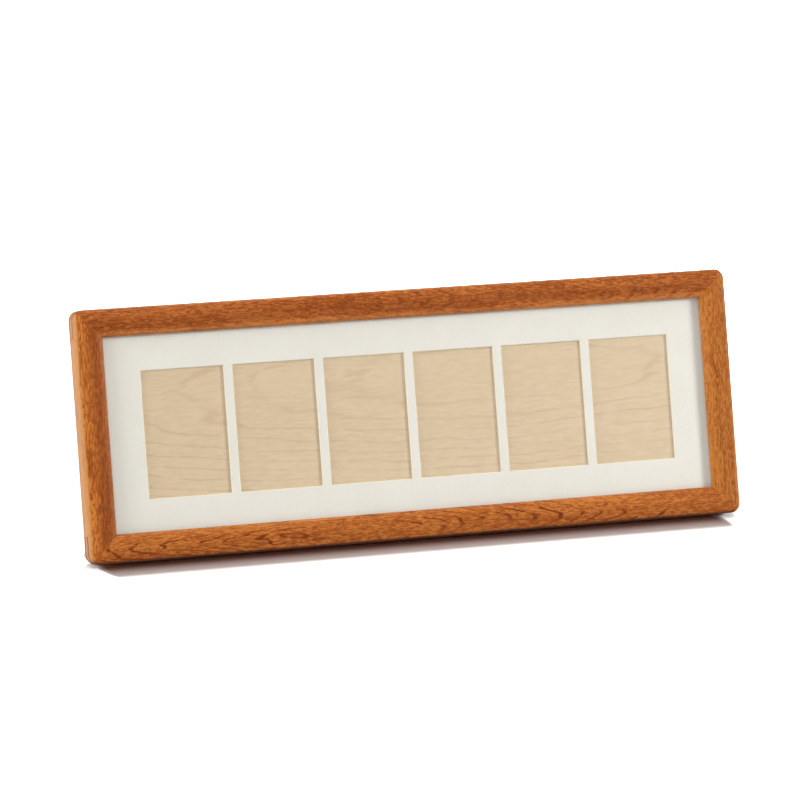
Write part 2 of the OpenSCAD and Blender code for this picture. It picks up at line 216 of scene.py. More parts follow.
class Graph:
    """Adds nodes to one node tree and joins them."""

    def __init__(self, tree: bpy.types.NodeTree) -> None:
        """Starts on a tree, a material's, world's or group's, and empties it."""
        self.tree = tree
        self.tree.nodes.clear()

    def node(
        self,
        kind: str,
        inputs: Mapping[str | int, object] | None = None,
        **settings: object,
    ) -> bpy.types.Node:
        """Adds a node.

        Args:
            kind: The node's Blender type.
            inputs: For each input by name or number, a socket to join or a value to set.
            **settings: The node's own properties.

        Returns:
            The new node.
        """
        made = self.tree.nodes.new(kind)
        for name, value in settings.items():
            setattr(made, name, value)
        for key, value in (inputs or {}).items():
            if isinstance(value, Socket):
                self.tree.links.new(value, made.inputs[key])
            else:
                made.inputs[key].default_value = value
        return made

    def math(self, operation: str, *values: object, clamp: bool = False) -> Socket:
        """Returns the result of a Math node, held between 0 and 1 if clamp is set."""
        inputs = dict(enumerate(values))
        made = self.node("ShaderNodeMath", inputs, operation=operation, use_clamp=clamp)
        return made.outputs[0]

    def times(self, first: Socket, *others: float | Socket) -> Socket:
        """Returns the product of a number and the others, taken one after another."""
        return reduce(partial(self.math, "MULTIPLY"), others, first)

    def vector(self, operation: str, *values: object) -> Socket:
        """Returns the result of a Vector Math node, a number for a length or a dot product."""
        made = self.node("ShaderNodeVectorMath", dict(enumerate(values)), operation=operation)
        number = operation in ("LENGTH", "DOT_PRODUCT")
        return made.outputs["Value" if number else "Vector"]

    def scale(self, where: Socket, factor: float | Socket) -> Socket:
        """Returns a vector made longer by a factor."""
        inputs = {0: where, "Scale": factor}
        return self.node("ShaderNodeVectorMath", inputs, operation="SCALE").outputs["Vector"]

    def part(self, where: Socket, axis: str) -> Socket:
        """Returns a vector's X, Y or Z."""
        return self.node("ShaderNodeSeparateXYZ", {"Vector": where}).outputs[axis]

    def joined(self, **parts: float | Socket) -> Socket:
        """Returns the vector that has the given X, Y and Z, or 0 for one left out."""
        return self.node("ShaderNodeCombineXYZ", parts).outputs["Vector"]

    def noise(self, where: Socket, pattern: Noise, output: str = "Fac") -> Socket:
        """Returns one output of a noise pattern at a place on the surface, in metres."""
        inputs = {
            "Vector": self.vector("MULTIPLY", where, pattern.stretch),
            "Scale": 1.0,
            "Detail": pattern.detail,
            "Roughness": pattern.roughness,
            "Distortion": pattern.distortion,
        }
        return self.node("ShaderNodeTexNoise", inputs).outputs[output]

    def remap(
        self,
        value: Socket,
        low: float | Socket,
        high: float,
        to_low: float = 0.0,
        to_high: float = 1.0,
    ) -> Socket:
        """Returns a value carried smoothly from one range onto another, and held at its ends."""
        labels = ("Value", "From Min", "From Max", "To Min", "To Max")
        inputs = dict(zip(labels, (value, low, high, to_low, to_high)))
        made = self.node("ShaderNodeMapRange", inputs, interpolation_type="SMOOTHSTEP")
        return made.outputs["Result"]

    def mix(self, share: object, first: object, second: object) -> Socket:
        """Returns the mix of two colours that has the given share of the second."""
        inputs = {0: share, 6: first, 7: second}
        return self.node("ShaderNodeMix", inputs, data_type="RGBA").outputs[2]

    def bump(self, height: Socket, strength: float, distance: float) -> Socket:
        """Returns the normal of a relief by its height from 0 to 1 and its depth in metres."""
        inputs = {"Height": height, "Strength": strength, "Distance": distance}
        return self.node("ShaderNodeBump", inputs).outputs["Normal"]

    def object_place(self, turn: Triple = (0, 0, 0), shift: Triple = (0, 0, 0)) -> Socket:
        """Returns the place on the surface in the object's own axes, turned and then shifted."""
        place = self.node("ShaderNodeTexCoord").outputs["Object"]
        inputs = {"Vector": place, "Rotation": turn, "Location": shift}
        return self.node("ShaderNodeMapping", inputs, vector_type="POINT").outputs["Vector"]

    def principled(self, inputs: Mapping[str, object]) -> Socket:
        """Returns a Principled shader's socket, its inputs joined or set by name."""
        return self.node("ShaderNodeBsdfPrincipled", inputs).outputs["BSDF"]


class GroupGraph(Graph):
    """The inside of a shader node group, which is built once for all materials that ask."""

    name: str = ""
    inputs: Mapping[str, object] = {}
    outputs: Mapping[str, str] = {
        "Color": "NodeSocketColor",
        "Roughness": "NodeSocketFloat",
        "Height": "NodeSocketFloat",
    }
    kinds: Mapping[int, str] = {
        1: "NodeSocketFloat",
        3: "NodeSocketVector",
        4: "NodeSocketColor",
    }

    def __init__(self) -> None:
        """Builds the group: its inputs with their values, its outputs and its inside."""
        tree = bpy.data.node_groups.new(self.name, "ShaderNodeTree")
        for label, value in self.inputs.items():
            kind = self.kinds[len(value) if isinstance(value, tuple) else 1]
            socket = tree.interface.new_socket(label, in_out="INPUT", socket_type=kind)
            socket.default_value = value
        for label, kind in self.outputs.items():
            tree.interface.new_socket(label, in_out="OUTPUT", socket_type=kind)
        super().__init__(tree)
        self.given = {s.name: s for s in self.node("NodeGroupInput").outputs if s.name}
        self.node("NodeGroupOutput", self.draw())

    @classmethod
    def place(cls, graph: Graph, values: Mapping[str, object]) -> bpy.types.NodeOutputs:
        """Returns the outputs of the group, put into a material's graph with its values."""
        tree = bpy.data.node_groups.get(cls.name) or cls().tree
        return graph.node("ShaderNodeGroup", values, node_tree=tree).outputs

    def draw(self) -> dict[str, Socket]:
        """Draws the group's inside.

        Returns:
            The group's outputs by name.
        """
        raise NotImplementedError


@dataclass(frozen=True)
class Figure:
    """A wood's colours, rings, fibres and the soft stripes along it, of which the edge and inner
    stripes are painted light and shade; one group input each.
    """

    pale: Colour = srgb(212, 128, 56)
    middle: Colour = srgb(178, 94, 34)
    dark: Colour = srgb(110, 42, 8)
    pore: Colour = srgb(88, 32, 8)
    heart: Triple = (0, 0.014, 0.008)
    opening: float = 0.05
    ring_width: float = 1.7 * MM
    wander: float = 5 * MM
    rings: float = 0.6
    late_wood: float = 0.5
    calm: float = 1.0
    streaks: float = 0.6
    pores: float = 0.45
    fineness: float = 1.0
    band_line: float = 0.0
    band_width: float = 5 * MM
    band: float = 0.0
    # Edge stripe: painted light on the outer edge, a paler tone for sheen or a dark one for painted
    # shade.
    edge_tone: Colour = srgb(226, 162, 98)
    edge_line: float = 0.0
    edge_width: float = 2.4 * MM
    edge: float = 0.0
    # Inner stripe: painted bounce light on the inner edge.
    inner_tone: Colour = srgb(234, 160, 90)
    inner_line: float = 0.0
    inner_width: float = 4.5 * MM
    inner: float = 0.0

    def by_label(self) -> dict[str, object]:
        """Returns each value by the label of its group input."""
        return {f.name.replace("_", " ").title(): getattr(self, f.name) for f in fields(self)}


class TimberFigure(GroupGraph):
    """Growth rings, fibre streaks that flow with them, and open pores; grain along X."""

    name = "Timber Figure"
    inputs = {"Vector": (0, 0, 0), **Figure().by_label()}
    centre = (0.5, 0.5, 0.5)
    wide_bend = Noise((15, 70, 70))
    small_bend = Noise((80, 300, 300))
    clouds = Noise((14, 130, 130), 3, 0.55)
    silk = Noise((230, 1100, 1100), 1, 0.5, 0.4)
    drift = Noise((8, 60, 60), 1)
    ring_breaks = Noise((110, 480, 480), 2, 0.6, 0.5)
    swirl = Noise((180, 700, 700), 1, 0.5, 0.7)
    vessel_breaks = Noise((100, 420, 420), 2, 0.6)
    dashes = Noise((360, 1500, 1500), 1, 0.4, 0.3)

    def draw(self) -> dict[str, Socket]:
        """Draws the wood and returns its colour, roughness and height."""
        given = self.given
        radius, flow, height = self.ring_space()
        # Ground of pale and middle fibres, with a darker band
        clouds = self.noise(flow, self.clouds)
        silk = self.noise(flow, self.silk)
        tone = self.math("MULTIPLY_ADD", silk, 0.7, self.times(clouds, 0.3))
        colour = self.mix(self.remap(tone, 0.41, 0.59), given["Middle"], given["Pale"])
        colour = self.mix(self.stripe("Band", height), colour, given["Dark"])
        # Vessels, then the rings where they aren't calmed, then the pores
        patches = self.remap(clouds, 0.34, 0.62, 1, 0.45)
        vessels = self.times(self.vessel_lines(flow), given["Streaks"], patches)
        colour = self.mix(vessels, colour, given["Dark"])
        drift = self.remap(self.noise(flow, self.drift), 0.4, 0.56, -1, 0)
        calm = self.math("MULTIPLY_ADD", drift, given["Calm"], 1.0)
        rings = self.times(self.ring_lines(radius, flow), given["Rings"], calm)
        colour = self.mix(rings, colour, given["Dark"])
        pores = self.remap(self.noise(given["Vector"], self.dashes), 0.57, 0.68)
        pores = self.times(pores, given["Pores"])
        colour = self.mix(pores, colour, given["Pore"])
        # Painted light and shade on the inner and outer edges: paler for sheen and bounce light,
        # dark for shade, through which the lines still show
        lined = self.math("MAXIMUM", vessels, rings)
        left_over = self.math("MULTIPLY_ADD", lined, -0.6, 1.0)
        left_over = self.times(left_over, self.remap(clouds, 0.36, 0.58, 0.8, 1))
        across = self.part(given["Vector"], "Z")
        # These stripes are painted light and shade, not wear.
        for edge in ("Inner", "Edge"):
            painted_light_share = self.times(self.stripe(edge, across), left_over)
            colour = self.mix(painted_light_share, colour, given[f"{edge} Tone"])
        # Duller vessels and pores, and sunk pores
        rough = self.math("MULTIPLY_ADD", vessels, 0.12, 0.42)
        rough = self.math("MULTIPLY_ADD", pores, 0.25, rough, clamp=True)
        relief = self.math("MULTIPLY_ADD", pores, -0.8, 0.75)
        relief = self.math("MULTIPLY_ADD", silk, 0.3, relief)
        return {"Color": colour, "Roughness": rough, "Height": relief}

    def stripe(self, name: str, height: Socket) -> Socket:
        """Returns the strength of a named soft stripe by the height across the grain."""
        reach = self.math("SUBTRACT", height, self.given[f"{name} Line"])
        reach = self.math("ABSOLUTE", reach)
        reach = self.math("DIVIDE", reach, self.given[f"{name} Width"])
        return self.times(self.remap(reach, 0.2, 1.1, 1, 0), self.given[name])

    def ring_space(self) -> tuple[Socket, Socket, Socket]:
        """Bends space so that rings and fibres wander together along the bar.

        Returns:
            The distance from the heart, the place that the fibres follow, and its height.
        """
        where = self.given["Vector"]
        small = self.noise(where, self.small_bend, "Color")
        small = self.scale(self.vector("SUBTRACT", small, self.centre), 0.3)
        wide = self.noise(where, self.wide_bend, "Color")
        bend = self.vector("ADD", self.vector("SUBTRACT", wide, self.centre), small)
        bent = self.vector("ADD", where, self.scale(bend, self.given["Wander"]))
        opening = self.joined(X=self.given["Opening"], Y=1.0, Z=1.0)
        spot = self.vector("SUBTRACT", bent, self.given["Heart"])
        radius = self.vector("LENGTH", self.vector("MULTIPLY", spot, opening))
        height = self.part(bent, "Z")
        across = self.math("MULTIPLY_ADD", radius, 0.5, height)
        flow = self.joined(X=self.part(bent, "X"), Y=across, Z=self.part(bent, "Y"))
        return radius, self.scale(flow, self.given["Fineness"]), height

    def ring_lines(self, radius: Socket, flow: Socket) -> Socket:
        """Returns the strength of the rings' thin late wood, which comes and goes along the bar."""
        count = self.math("DIVIDE", radius, self.given["Ring Width"])
        wave = self.math("SINE", self.times(count, math.tau))
        late = self.remap(wave, self.given["Late Wood"], 1.0)
        return self.times(late, self.remap(self.noise(flow, self.ring_breaks), 0.34, 0.5))

    def vessel_lines(self, flow: Socket) -> Socket:
        """Returns the strength of the vessels: thin, short, curling lines along the grain."""
        off = self.math("SUBTRACT", self.noise(flow, self.swirl), 0.5)
        lines = self.remap(self.math("ABSOLUTE", off), 0.0, 0.06, 1, 0)
        return self.times(lines, self.remap(self.noise(flow, self.vessel_breaks), 0.4, 0.52))


class MetalWear(GroupGraph):
    """Rolling marks, stains and fine scratches of plated or bare sheet metal."""

    name = "Metal Wear"
    inputs = {
        "Vector": (0, 0, 0),
        "Clean": (0.6, 0.6, 0.6, 1),
        "Stain": (0.3, 0.3, 0.3, 1),
        "Roughness": 0.3,
    }
    stains = Noise((190, 190, 190), 4, 0.6, 0.8)
    scratches = Noise((180, 4200, 4200), 2, 0.6)

    def draw(self) -> dict[str, Socket]:
        """Draws the metal and returns its colour, roughness and height."""
        given = self.given
        stain = self.remap(self.noise(given["Vector"], self.stains), 0.45, 0.75, 0.0, 0.5)
        scratch = self.noise(given["Vector"], self.scratches)
        colour = self.mix(stain, given["Clean"], given["Stain"])
        rough = self.math("MULTIPLY_ADD", stain, 0.3, given["Roughness"])
        rough = self.math("MULTIPLY_ADD", scratch, 0.16, rough, clamp=True)
        return {"Color": colour, "Roughness": rough, "Height": scratch}


@dataclass(frozen=True)
class Finish:
    """A finish: its material's name, and the record's slot that it belongs to."""

    name: str
    slot: str

    def material(self) -> bpy.types.Material:
        """Returns the finish's material, which the first call makes."""
        made = bpy.data.materials.get(self.name)
        if made is None:
            made = bpy.data.materials.new(self.name)
            made.use_nodes = True
            graph = Graph(made.node_tree)
            graph.node("ShaderNodeOutputMaterial", {"Surface": self.shade(graph)})
        return made

    def shade(self, graph: Graph) -> Socket:
        """Draws the finish's shader.

        Args:
            graph: The material's graph.

        Returns:
            The surface shader's socket.
        """
        raise NotImplementedError


@dataclass(frozen=True)
class Timber(Finish):
    """Oiled wood or veneer: its figure, and how its grain lies in the object."""

    grain: Grain
    figure: Figure = Figure()
    relief: float = 0.35
    shine: float = 0.13
    pore_depth: float = 0.1 * MM

    def shade(self, graph: Graph) -> Socket:
        """Draws the wood and returns its shader's socket."""
        where = graph.object_place(self.grain.turn, self.grain.shift)
        wood = TimberFigure.place(graph, {"Vector": where, **self.figure.by_label()})
        inputs = {
            "Base Color": wood["Color"],
            "Roughness": wood["Roughness"],
            "Normal": graph.bump(wood["Height"], self.relief, self.pore_depth),
            "Specular IOR Level": self.shine,
        }
        return graph.principled(inputs)


@dataclass(frozen=True)
class PlyEdge(Finish):
    """Sawn edge of thin plywood: pale and brown plies in turn across its thickness."""

    across: Triple = (0, 1, 0)
    start: Triple = (0, 0, 0)
    thickness: float = 5 * MM
    plies: int = 5
    ragged: Noise = Noise((420, 420, 420), 3, 0.6)
    relief_depth: float = 0.1 * MM

    def shade(self, graph: Graph) -> Socket:
        """Draws the plies and returns their shader's socket."""
        where = graph.object_place()
        rough = graph.noise(where, self.ragged)
        depth = graph.vector("SUBTRACT", where, self.start)
        depth = graph.vector("DOT_PRODUCT", depth, self.across)
        depth = graph.math("DIVIDE", depth, self.thickness)
        depth = graph.math("MULTIPLY_ADD", graph.math("SUBTRACT", rough, 0.5), 0.03, depth)
        wave = graph.math("SINE", graph.times(depth, self.plies * math.pi))
        odd = graph.remap(wave, -0.25, 0.25)
        colour = graph.mix(odd, srgb(186, 150, 108), srgb(222, 196, 158))
        fleck = graph.remap(rough, 0.5, 0.75, 0.0, 0.5)
        inputs = {
            "Base Color": graph.mix(fleck, colour, srgb(150, 112, 72)),
            "Roughness": graph.math("MULTIPLY_ADD", fleck, 0.3, 0.6),
            "Normal": graph.bump(rough, 0.4, self.relief_depth),
        }
        return graph.principled(inputs)


@dataclass(frozen=True)
class Card(Finish):
    """Mat card: a faint paper fibre under a warm off-white."""

    light: Colour = srgb(236, 233, 223)
    shade_tone: Colour = srgb(227, 222, 209)
    grain: float = 900.0
    clouds: Noise = Noise((28, 28, 28), 3, 0.6)
    relief_depth: float = 0.05 * MM

    def shade(self, graph: Graph) -> Socket:
        """Draws the paper and returns its shader's socket."""
        where = graph.object_place()
        tone = graph.remap(graph.noise(where, self.clouds), 0.3, 0.7, 0.0, 0.35)
        fibre = graph.noise(where, Noise((self.grain, self.grain, self.grain), 4, 0.7, 1.2))
        speck = graph.remap(fibre, 0.42, 0.72, 0.0, 0.4)
        colour = graph.mix(tone, self.light, self.shade_tone)
        inputs = {
            "Base Color": graph.mix(speck, colour, self.shade_tone),
            "Roughness": graph.math("MULTIPLY_ADD", speck, 0.2, 0.78),
            "Normal": graph.bump(fibre, 0.25, self.relief_depth),
            "Specular IOR Level": 0.3,
        }
        return graph.principled(inputs)


@dataclass(frozen=True)
class Pane(Finish):
    """Clear glass, which lets the lamps' light straight through to the mat."""

    tint: Colour = (0.985, 0.995, 0.99, 1.0)
    film: Noise = Noise((16, 16, 16), 4, 0.6)

    def shade(self, graph: Graph) -> Socket:
        """Draws the glass and returns its shader's socket."""
        film = graph.noise(graph.object_place(), self.film)
        inputs = {
            "Base Color": self.tint,
            "Roughness": graph.remap(film, 0.5, 0.8, 0.0, 0.02),
            "IOR": 1.5,
            "Transmission Weight": 1.0,
            "Metallic": 0.0,
        }
        glass = graph.principled(inputs)
        clear = graph.node("ShaderNodeBsdfTransparent").outputs["BSDF"]
        path = graph.node("ShaderNodeLightPath").outputs
        through = graph.math("MAXIMUM", path["Is Shadow Ray"], path["Is Diffuse Ray"])
        return graph.node("ShaderNodeMixShader", {0: through, 1: glass, 2: clear}).outputs["Shader"]


@dataclass(frozen=True)
class Metal(Finish):
    """Sheet metal with rolling marks and stains."""

    clean: Colour = srgb(196, 198, 198)
    stain: Colour = srgb(140, 142, 142)
    roughness: float = 0.28
    scratch_depth: float = 0.02 * MM

    def shade(self, graph: Graph) -> Socket:
        """Draws the metal and returns its shader's socket."""
        values = {
            "Vector": graph.object_place(),
            "Clean": self.clean,
            "Stain": self.stain,
            "Roughness": self.roughness,
        }
        wear = MetalWear.place(graph, values)
        inputs = {
            "Base Color": wear["Color"],
            "Roughness": wear["Roughness"],
            "Metallic": 1.0,
            "Normal": graph.bump(wear["Height"], 0.15, self.scratch_depth),
        }
        return graph.principled(inputs)


STANCE = Stance()
ALONG = STANCE.grain()
UPWARD = STANCE.grain(math.radians(90))

TOP_FIGURE = Figure(
    pale=srgb(194, 113, 52),
    middle=srgb(158, 80, 28),
    heart=(-0.13, 0.006, 0.143),
    opening=0.1,
    ring_width=1.4 * MM,
    rings=0.45,
    late_wood=0.62,
    streaks=0.7,
    band_line=0.1405,
    band=0.3,
    # Painted light: a paler outer edge for sheen and a paler inner edge for bounce light.
    edge_line=0.1505,
    edge=0.12,
    inner_line=0.1335,
    inner_width=4 * MM,
    inner=0.28,
)
BOTTOM_FIGURE = Figure(
    pale=srgb(206, 125, 56),
    middle=srgb(172, 91, 33),
    heart=(-0.067, 0.005, 0.0075),
    opening=0.09,
    ring_width=1.2 * MM,
    rings=0.9,
    late_wood=0.66,
    streaks=0.55,
    band_width=13 * MM,
    band=0.25,
    # Painted shade: the lower rounding of the bottom rail drawn dark; painted bounce light on its
    # inner edge.
    edge_tone=srgb(44, 18, 8),
    edge_width=1.9 * MM,
    edge=1.0,
    inner_line=17 * MM,
    inner=0.1,
)
LEFT_FIGURE = Figure(
    heart=(0.06, 0.03, 0.2),
    rings=0.5,
    band_line=0.191,
    band_width=9.5 * MM,
    band=0.55,
    # Painted light: a paler outer edge and side for sheen, and a faintly paler inner edge for
    # bounce light.
    edge_line=0.204,
    edge=0.8,
    inner_line=0.187,
    inner=0.08,
)
RIGHT_FIGURE = Figure(
    pale=srgb(206, 130, 58),
    middle=srgb(180, 101, 37),
    heart=(0.1, 0.04, -0.21),
    opening=0.02,
    rings=0.3,
    band_line=-0.2,
    band_width=12 * MM,
    band=0.2,
    # Painted light: a paler outer edge for sheen and a bright inner edge for bounce light.
    edge_line=-0.204,
    edge=0.3,
    inner_tone=srgb(232, 150, 72),
    inner_line=-0.187,
    inner_width=6 * MM,
    inner=0.22,
)
BAR_FINISHES = {
    Side.TOP: Timber("Hardwood Top Rail", "hardwood", ALONG, TOP_FIGURE),
    Side.BOTTOM: Timber("Hardwood Bottom Rail", "hardwood", ALONG, BOTTOM_FIGURE),
    Side.LEFT: Timber("Hardwood Left Stile", "hardwood", UPWARD, LEFT_FIGURE),
    Side.RIGHT: Timber("Hardwood Right Stile", "hardwood", UPWARD, RIGHT_FIGURE),
}
DARK_FIGURE = Figure(
    pale=srgb(142, 86, 48),
    middle=srgb(116, 64, 34),
    dark=srgb(84, 44, 22),
    pore=srgb(56, 30, 16),
    rings=0.3,
)
BROWN_FIGURE = replace(
    DARK_FIGURE,
    pale=srgb(190, 124, 70),
    middle=srgb(166, 100, 50),
    dark=srgb(130, 72, 32),
    pore=srgb(96, 52, 24),
)
RISING = STANCE.grain(math.radians(45))
FALLING = STANCE.grain(math.radians(-45))
KEY_FINISHES = {
    "top_left": Timber("Brown Key Wood Rising", "dark_wood", RISING, BROWN_FIGURE),
    "top_right": Timber("Brown Key Wood Falling", "dark_wood", FALLING, BROWN_FIGURE),
    "bottom_left": Timber("Dark Key Wood Falling", "dark_wood", FALLING, DARK_FIGURE),
    "bottom_right": Timber("Dark Key Wood Rising", "dark_wood", RISING, DARK_FIGURE),
}
VENEER_FIGURE = Figure(
    pale=srgb(217, 192, 156),
    middle=srgb(212, 186, 148),
    dark=srgb(190, 158, 116),
    pore=srgb(186, 158, 118),
    heart=(0.06, 0.06, 0.097),
    opening=0.163,
    ring_width=3.6 * MM,
    rings=0.44,
    late_wood=0.76,
    calm=0.5,
    streaks=0.09,
    pores=0.08,
    fineness=0.6,
)
BOARD_VENEER = Timber("Pale Board Veneer", "pale_plywood", ALONG, VENEER_FIGURE, relief=0.12)
LEG_GRAIN = Grain((math.radians(-15), math.radians(90), 0), (0.2, 0.01, 0.05))
LEG_VENEER = replace(BOARD_VENEER, name="Pale Leg Veneer", grain=LEG_GRAIN)
MAT_FACE = Card("Mat Face", "mat_card")
MAT_CORE = Card("Mat Core", "mat_card", srgb(242, 233, 210), srgb(235, 225, 198), 1400.0)
# Painted shade: a dark card for the strip at the foot of the windows' slopes, where the crease
# against the board is shaded.
MAT_FOOT_SHADE = Card("Mat Foot", "mat_card", srgb(166, 154, 128), srgb(142, 130, 104), 1400.0)
GLASS = Pane("Picture Glass", "clear_glass")
ZINC = Metal("Zinc Plate", "zinc_steel")
BRASS = Metal("Satin Brass", "brass", srgb(222, 186, 112), srgb(158, 120, 62), 0.24)


def publish(
    mesh: Mesh, name: str, finishes: Iterable[Finish], crease: float = math.radians(30)
) -> Piece:
    """Makes an object of a finished mesh, smooth but for its sharp edges.

    Args:
        mesh: The mesh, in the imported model's axes. It is freed.
        name: The object's name.
        finishes: Its finishes, in the order of the faces' material numbers.
        crease: Angle between two faces from which their edge stays sharp.

    Returns:
        The object, at the origin.
    """
    for face in mesh.faces:
        face.smooth = True
    for edge in mesh.edges:
        edge.smooth = len(edge.link_faces) == 2 and edge.calc_face_angle() < crease
    data = bpy.data.meshes.new(name)
    mesh.to_mesh(data)
    mesh.free()
    made = bpy.data.objects.new(name, data)
    bpy.context.scene.collection.objects.link(made)
    for finish in finishes:
        data.materials.append(finish.material())
    return made


def dress(piece: Piece, body: str, node: str) -> None:
    """Fixes a new piece to its body and hides the node that it stands for.

    Args:
        piece: The piece.
        body: The body that it rides on.
        node: The node that it replaces.
    """
    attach(piece, body)
    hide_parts(node)
    LOG.info("%s: %d faces on %s", piece.name, len(piece.data.polygons), body)


def repaint(node: Piece, finish: Finish) -> None:
    """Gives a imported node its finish."""
    node.data.materials.clear()
    node.data.materials.append(finish.material())
    LOG.info("%s: finished as %s", node.name, finish.name)


def everything(mesh: Mesh) -> list[Vert | Edge | bmesh.types.BMFace]:
    """Returns all points, edges and faces of a mesh."""
    return mesh.verts[:] + mesh.edges[:] + mesh.faces[:]


def cut_across(
    mesh: Mesh, point: Sequence[float], normal: Sequence[float], clear: bool = False
) -> None:
    """Cuts a mesh with a plane.

    Args:
        mesh: The mesh.
        point: A point of the plane.
        normal: The plane's direction.
        clear: Whether what lies on the normal's side goes.
    """
    bmesh.ops.bisect_plane(
        mesh,
        geom=everything(mesh),
        dist=WELD / 10,
        plane_co=point,
        plane_no=normal,
        clear_outer=clear,
    )


def soften(
    mesh: Mesh,
    geom: Sequence[Vert | Edge],
    width: float,
    steps: int,
    affect: str = "EDGES",
    clamp: bool = True,
) -> None:
    """Rounds edges or corners of a mesh.

    Args:
        mesh: The mesh.
        geom: The edges or points.
        width: Width of the rounding, in metres.
        steps: Its number of steps.
        affect: Whether EDGES or VERTICES are rounded.
        clamp: Whether it stops where two roundings meet.
    """
    bmesh.ops.bevel(
        mesh,
        geom=geom,
        offset=width,
        offset_type="OFFSET",
        segments=steps,
        profile=0.5,
        affect=affect,
        clamp_overlap=clamp,
        material=-1,
    )


def softened_copy(node: Piece, ease: float) -> Mesh:
    """Returns a merged copy of a node's mesh, its sharp edges rounded by a width in metres."""
    mesh = bmesh.new()
    mesh.from_mesh(node.data)
    bmesh.ops.remove_doubles(mesh, verts=mesh.verts, dist=WELD)
    flat, sharp = math.radians(0.5), math.radians(32)
    bmesh.ops.dissolve_limit(mesh, angle_limit=flat, verts=mesh.verts, edges=mesh.edges)
    paired = [e for e in mesh.edges if len(e.link_faces) == 2]
    soften(mesh, [e for e in paired if e.calc_face_angle() > sharp], ease, 2)
    return mesh


